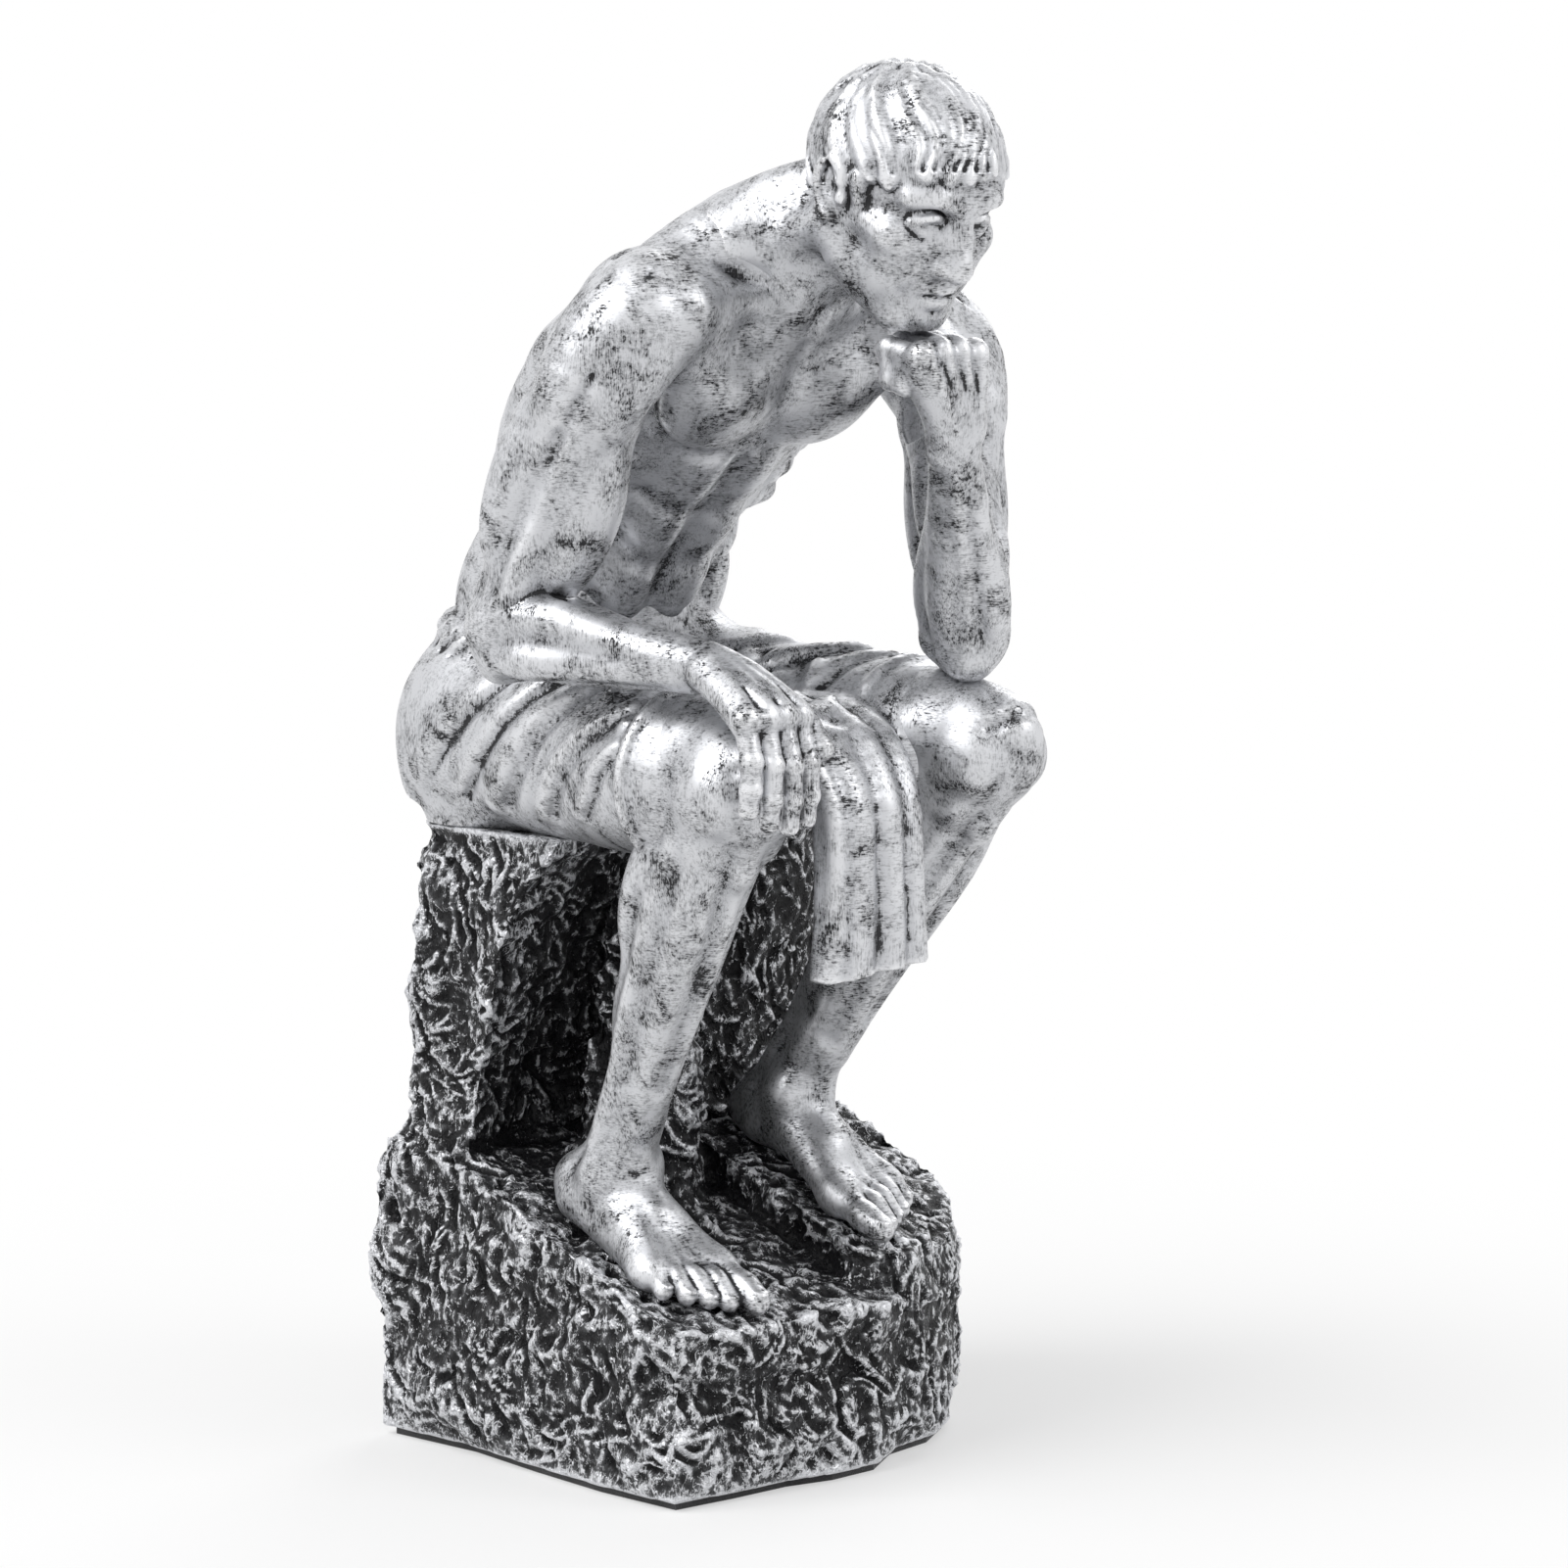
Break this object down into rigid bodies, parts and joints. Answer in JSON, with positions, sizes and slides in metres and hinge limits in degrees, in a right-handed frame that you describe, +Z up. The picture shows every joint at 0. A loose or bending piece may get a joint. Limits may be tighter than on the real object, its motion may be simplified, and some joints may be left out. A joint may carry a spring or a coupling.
{
  "type": "seated figure statue",
  "caption": "Cast resin tabletop ornament: a seated figure in thought, chin on fist, on a rough rock with a felt-covered flat base.",
  "frame": {"origin": "middle of the felt face that the statue rests on", "axes": "+Z up, the figure looks along -Y, its right side is at -X"},
  "size_m": [0.1145, 0.1284, 0.2556],
  "materials": {
    "figure_resin": "cast resin, antique silver paint with a dark wash in the hollows",
    "rock_resin": "cast resin, charcoal paint with silver brushed over the ridges",
    "plaster": "poured plaster",
    "board": "pressed board",
    "felt": "black felt",
    "steel": "plain steel rod"
  },
  "bodies": {
    "root": {"rock_base": "rock_resin", "ballast_fill": "plaster", "bottom_plate": "board", "felt_sheet": "felt", "lap_drape": "figure_resin", "torso": "figure_resin", "head": "figure_resin", "right_arm": "figure_resin", "left_arm": "figure_resin", "right_leg": "figure_resin", "left_leg": "figure_resin", "neck_pin": "steel", "waist_pin": "steel", "right_shoulder_pin": "steel", "left_shoulder_pin": "steel", "right_leg_pin": "steel", "left_leg_pin": "steel", "sole_pins": "steel", "seat_pins": "steel"}
  },
  "joints": []
}
